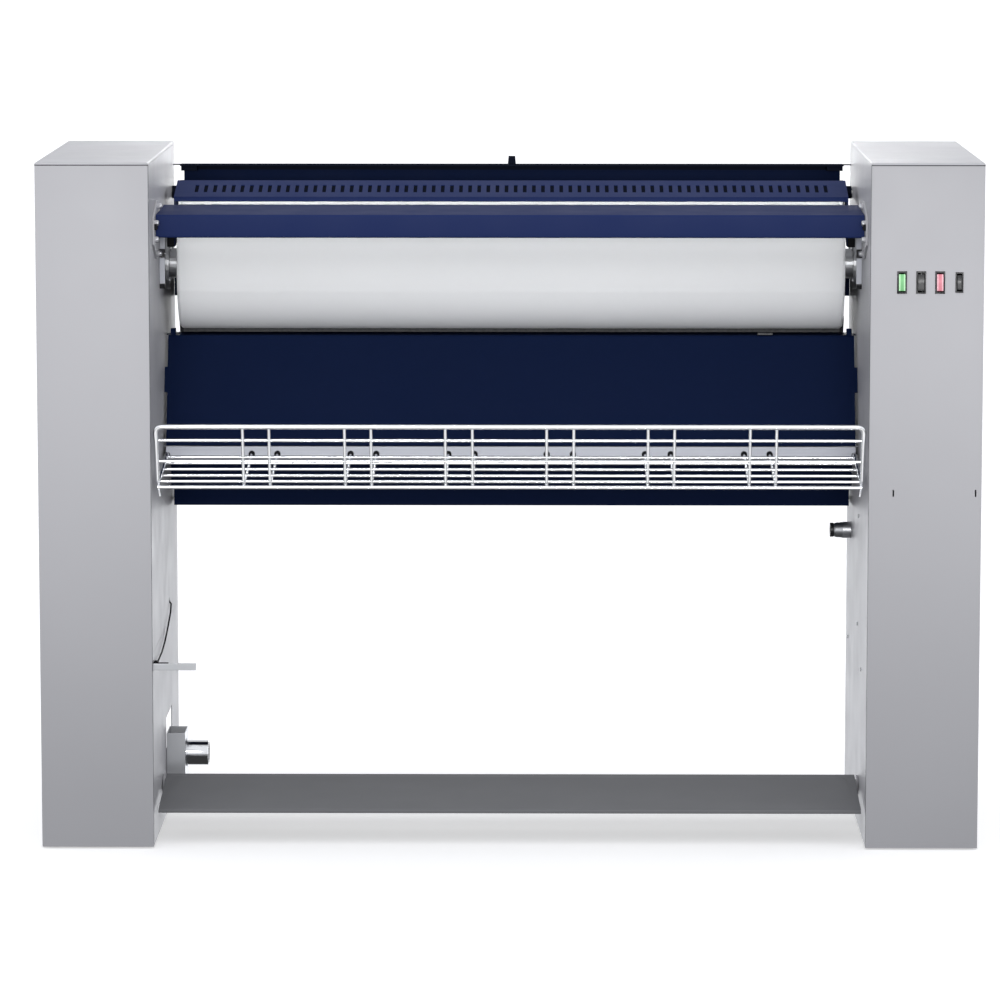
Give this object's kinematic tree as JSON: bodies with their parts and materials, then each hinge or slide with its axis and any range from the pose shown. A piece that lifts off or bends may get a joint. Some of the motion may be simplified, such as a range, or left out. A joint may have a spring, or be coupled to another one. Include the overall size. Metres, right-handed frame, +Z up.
{
  "type": "flatwork ironer",
  "caption": "Free-standing roll ironer: padded roll and heated chest between two pedestals, with feed board, finger guard, chute, wire tray, full-width pedal and rocker switches.",
  "frame": {"origin": "on the floor at the middle of the overall box", "axes": "+X to the right as seen from the front, +Y to the back, +Z up"},
  "size_m": [1.498, 0.572, 1.1],
  "materials": {
    "pedestal_paint": "satin powder coat, light grey",
    "pedal_paint": "satin powder coat, mid grey",
    "ledge_paint": "satin powder coat, pale grey",
    "navy_paint": "satin powder coat, navy",
    "dark_navy_paint": "satin powder coat, dark navy",
    "black_paint": "satin black",
    "bare_steel": "machined",
    "zinc_steel": "zinc plated",
    "chrome_wire": "bright chrome plate",
    "chrome_tube": "polished",
    "cast_iron": "as cast",
    "motor_enamel": "dark enamel",
    "insulation": "fibre quilt",
    "roll_cloth": "woven cotton",
    "black_rubber": "moulded",
    "black_plastic": "fine grain",
    "green_lens": "translucent",
    "red_lens": "translucent"
  },
  "bodies": {
    "cabinet": {"catch_tab": "black_paint", "conduit_gland": "zinc_steel", "control_box": "zinc_steel", "drive_belt": "black_rubber", "exhaust_box": "zinc_steel", "exhaust_spigot": "chrome_tube", "exit_chute": "dark_navy_paint", "feed_board": "navy_paint", "gearmotor": "motor_enamel", "left_back_panel": "pedestal_paint", "left_base_frame": "bare_steel", "left_bearing": "zinc_steel", "left_board_bracket": "pedestal_paint", "left_front_foot": "black_rubber", "left_front_panel": "pedestal_paint", "left_inner_panel": "pedestal_paint", "left_outer_panel": "pedestal_paint", "left_rear_foot": "black_rubber", "left_service_panel": "pedestal_paint", "left_top_cover": "pedestal_paint", "lever_bracket": "zinc_steel", "lower_cover": "dark_navy_paint", "pedal_spring": "bare_steel", "rear_cover": "dark_navy_paint", "rear_trim": "black_paint", "release_cable": "black_rubber", "right_back_panel": "pedestal_paint", "right_base_frame": "bare_steel", "right_bearing": "zinc_steel", "right_board_bracket": "pedestal_paint", "right_front_foot": "black_rubber", "right_front_panel": "pedestal_paint", "right_inner_panel": "pedestal_paint", "right_outer_panel": "pedestal_paint", "right_rear_foot": "black_rubber", "right_top_cover": "pedestal_paint", "switch_carrier": "black_plastic", "tray_ledge": "ledge_paint"},
    "roll": {"roll_tube": "bare_steel", "roll_padding": "roll_cloth", "left_journal": "zinc_steel", "right_journal": "zinc_steel", "roll_pulley": "cast_iron"},
    "motor_pulley": {"motor_pulley": "cast_iron"},
    "chest": {"heated_chest": "cast_iron", "chest_jacket": "insulation", "heating_element": "bare_steel", "chest_shaft": "bare_steel", "chest_lever": "bare_steel"},
    "guard": {"slotted_guard": "navy_paint"},
    "tray": {"wire_tray": "chrome_wire"},
    "pedal": {"pedal_board": "pedal_paint", "pedal_shaft": "bare_steel"},
    "press_rod": {"press_rod": "bare_steel"},
    "start_rocker": {"start_rocker": "green_lens"},
    "speed_rocker": {"speed_rocker": "black_plastic"},
    "stop_rocker": {"stop_rocker": "red_lens"},
    "heat_rocker": {"heat_rocker": "black_plastic"},
    "release_lever": {"release_lever": "zinc_steel"}
  },
  "joints": [
    {"name": "roll_spin", "type": "hinge", "parent": "cabinet", "child": "roll", "pos_m": [0, 0.104, 0.909], "axis": [-1, 0, 0], "continuous": true},
    {"name": "motor_spin", "type": "hinge", "parent": "cabinet", "child": "motor_pulley", "pos_m": [0, -0.025, 0.56], "axis": [-1, 0, 0], "continuous": true},
    {"name": "chest_press", "type": "hinge", "parent": "cabinet", "child": "chest", "pos_m": [0, 0.228, 1.018], "axis": [-1, 0, 0], "range_deg": [0, 2.4]},
    {"name": "pedal_press", "type": "hinge", "parent": "cabinet", "child": "pedal", "pos_m": [0, -0.075, 0.066], "axis": [1, 0, 0], "range_deg": [0, 8], "stiffness_Nm_per_rad": 10, "springref_deg": -25.78},
    {"name": "rod_lift", "type": "slide", "parent": "cabinet", "child": "press_rod", "axis": [0, 0, 1], "range_m": [0, 0.0098]},
    {"name": "guard_lift", "type": "hinge", "parent": "cabinet", "child": "guard", "pos_m": [0, 0.11, 0.985], "axis": [-1, 0, 0], "range_deg": [0, 15]},
    {"name": "tray_tilt", "type": "hinge", "parent": "cabinet", "child": "tray", "pos_m": [0, -0.0254, 0.606], "axis": [-1, 0, 0], "range_deg": [0, 25]},
    {"name": "start_rock", "type": "hinge", "parent": "cabinet", "child": "start_rocker", "pos_m": [0.6195, -0.2745, 0.9115], "axis": [1, 0, 0], "range_deg": [0, 5], "stiffness_Nm_per_rad": 0.1, "springref_deg": -5.73},
    {"name": "speed_rock", "type": "hinge", "parent": "cabinet", "child": "speed_rocker", "pos_m": [0.6495, -0.2745, 0.9115], "axis": [1, 0, 0], "range_deg": [0, 8]},
    {"name": "stop_rock", "type": "hinge", "parent": "cabinet", "child": "stop_rocker", "pos_m": [0.6795, -0.2745, 0.9115], "axis": [1, 0, 0], "range_deg": [0, 5], "stiffness_Nm_per_rad": 0.1, "springref_deg": -5.73},
    {"name": "heat_rock", "type": "hinge", "parent": "cabinet", "child": "heat_rocker", "pos_m": [0.71, -0.2745, 0.9115], "axis": [1, 0, 0], "range_deg": [0, 8]},
    {"name": "lever_pull", "type": "hinge", "parent": "cabinet", "child": "release_lever", "pos_m": [-0.5765, -0.27, 0.2935], "axis": [0, 1, 0], "range_deg": [0, 15], "stiffness_Nm_per_rad": 0.5, "springref_deg": -17.19}
  ],
  "couplings": [
    {"joint": "motor_spin", "follows": "roll_spin", "ratio": 3},
    {"joint": "pedal_press", "follows": "chest_press", "ratio": 3.3333},
    {"joint": "rod_lift", "follows": "chest_press", "m_per_rad": 0.23308}
  ]
}
